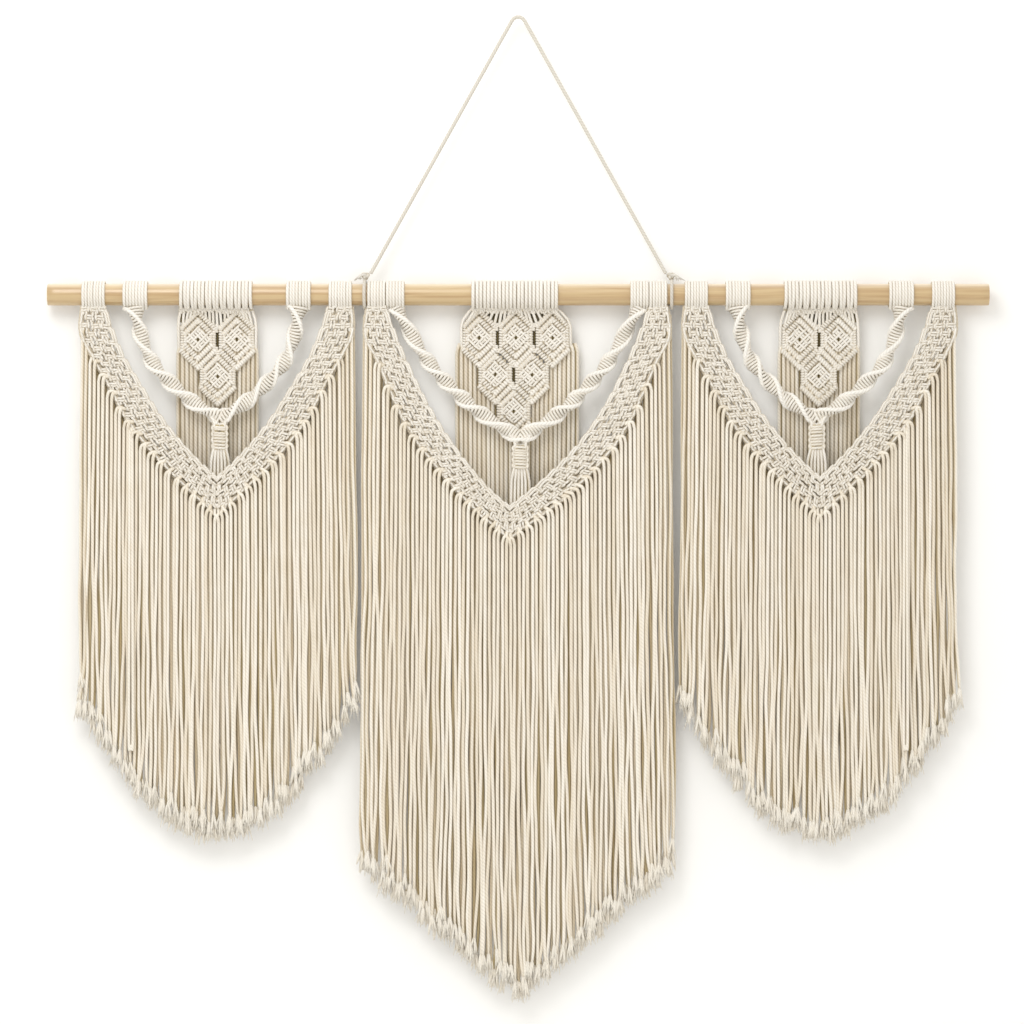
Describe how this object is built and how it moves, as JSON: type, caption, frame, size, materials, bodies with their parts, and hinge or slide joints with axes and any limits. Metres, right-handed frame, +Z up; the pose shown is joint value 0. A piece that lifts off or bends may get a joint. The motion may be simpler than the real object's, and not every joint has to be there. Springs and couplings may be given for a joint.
{
  "type": "macrame wall hanging on a wooden dowel",
  "caption": "Cotton macrame wall hanging with V-shaped bands, spiral swags, diamond motifs, tassels and long fringe, on a round wooden dowel with a hanging cord.",
  "frame": {"origin": "where the hanging cord rests on its nail, at the underside of the cord's apex", "axes": "+Z up, +X along the dowel, +Y towards the wall, so the front faces -Y"},
  "size_m": [1.1, 0.036, 1.1495],
  "materials": {
    "pine": "satin, lightly sanded",
    "hanging_cotton": "matte twisted cotton cord",
    "cotton_cord": "matte natural cotton cord"
  },
  "bodies": {
    "root": {"dowel": "pine", "hanging_cord": "hanging_cotton", "hanging_knot_left": "hanging_cotton", "hanging_knot_right": "hanging_cotton", "curtain_left": "cotton_cord", "curtain_centre": "cotton_cord", "curtain_right": "cotton_cord", "swag_left": "cotton_cord", "swag_centre": "cotton_cord", "swag_right": "cotton_cord", "tassel_left": "cotton_cord", "tassel_centre": "cotton_cord", "tassel_right": "cotton_cord", "motif_left": "cotton_cord", "motif_centre": "cotton_cord", "motif_right": "cotton_cord"}
  },
  "joints": []
}
